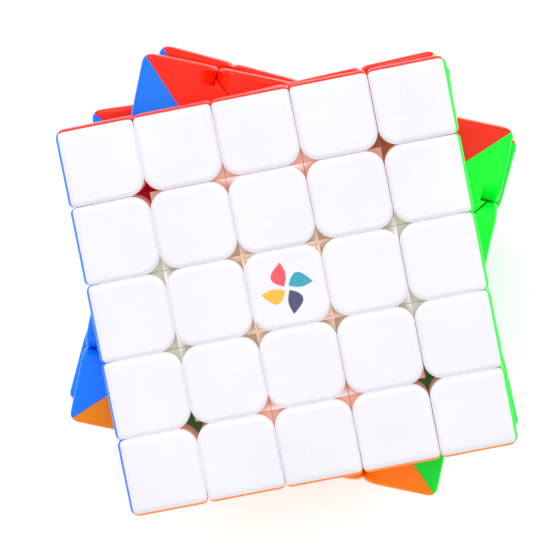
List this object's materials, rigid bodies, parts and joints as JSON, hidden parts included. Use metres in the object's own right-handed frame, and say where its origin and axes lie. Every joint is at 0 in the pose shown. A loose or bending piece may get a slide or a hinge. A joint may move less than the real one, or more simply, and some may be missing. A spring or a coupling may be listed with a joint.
{
  "type": "twisty puzzle cube",
  "caption": "Stickerless layered twisty puzzle cube with six colours, its layers part-turned about one axis, each layer on its own hinge.",
  "frame": {"origin": "centre of the ball core, which is also the centre of the bounding box", "axes": "+Z out of the white face, along the line that the layers turn about; the yellow face rests on -Z; +X out of the top layer's green side and +Y out of its red side"},
  "size_m": [0.0826, 0.0826, 0.0624],
  "materials": {
    "white_caps": "satin",
    "yellow_caps": "satin",
    "red_caps": "satin",
    "orange_caps": "satin",
    "green_caps": "satin",
    "blue_caps": "satin",
    "base_plastic": "matt",
    "core_plastic": "matt",
    "screw_steel": "plated",
    "spring_steel": "plated"
  },
  "bodies": {
    "core_and_middle_layer": {"core": "core_plastic", "middle_blue_caps": "blue_caps", "middle_fixed_center_bases": "base_plastic", "middle_green_caps": "green_caps", "middle_middle_edge_bases": "base_plastic", "middle_orange_caps": "orange_caps", "middle_plus_center_bases": "base_plastic", "middle_red_caps": "red_caps", "screws": "screw_steel", "springs": "spring_steel", "washers": "screw_steel"},
    "top_layer": {"top_blue_caps": "blue_caps", "top_corner_bases": "base_plastic", "top_diagonal_center_bases": "base_plastic", "top_fixed_center_bases": "base_plastic", "top_green_caps": "green_caps", "top_middle_edge_bases": "base_plastic", "top_orange_caps": "orange_caps", "top_plus_center_bases": "base_plastic", "top_red_caps": "red_caps", "top_white_center_caps": "white_caps", "top_white_corner_caps": "white_caps", "top_white_edge_caps": "white_caps", "top_wing_bases": "base_plastic"},
    "upper_inner_layer": {"upper_blue_caps": "blue_caps", "upper_diagonal_center_bases": "base_plastic", "upper_green_caps": "green_caps", "upper_orange_caps": "orange_caps", "upper_plus_center_bases": "base_plastic", "upper_red_caps": "red_caps", "upper_wing_bases": "base_plastic"},
    "lower_inner_layer": {"lower_blue_caps": "blue_caps", "lower_diagonal_center_bases": "base_plastic", "lower_green_caps": "green_caps", "lower_orange_caps": "orange_caps", "lower_plus_center_bases": "base_plastic", "lower_red_caps": "red_caps", "lower_wing_bases": "base_plastic"},
    "bottom_layer": {"bottom_blue_caps": "blue_caps", "bottom_corner_bases": "base_plastic", "bottom_diagonal_center_bases": "base_plastic", "bottom_fixed_center_bases": "base_plastic", "bottom_green_caps": "green_caps", "bottom_middle_edge_bases": "base_plastic", "bottom_orange_caps": "orange_caps", "bottom_plus_center_bases": "base_plastic", "bottom_red_caps": "red_caps", "bottom_wing_bases": "base_plastic", "bottom_yellow_center_caps": "yellow_caps", "bottom_yellow_corner_caps": "yellow_caps", "bottom_yellow_edge_caps": "yellow_caps"}
  },
  "joints": [
    {"name": "top_layer_turn", "type": "hinge", "parent": "core_and_middle_layer", "child": "top_layer", "pos_m": [0, 0, 0], "axis": [0, 0, 1], "continuous": true},
    {"name": "upper_inner_layer_turn", "type": "hinge", "parent": "core_and_middle_layer", "child": "upper_inner_layer", "pos_m": [0, 0, 0], "axis": [0, 0, 1], "continuous": true},
    {"name": "lower_inner_layer_turn", "type": "hinge", "parent": "core_and_middle_layer", "child": "lower_inner_layer", "pos_m": [0, 0, 0], "axis": [0, 0, 1], "continuous": true},
    {"name": "bottom_layer_turn", "type": "hinge", "parent": "core_and_middle_layer", "child": "bottom_layer", "pos_m": [0, 0, 0], "axis": [0, 0, 1], "continuous": true}
  ]
}
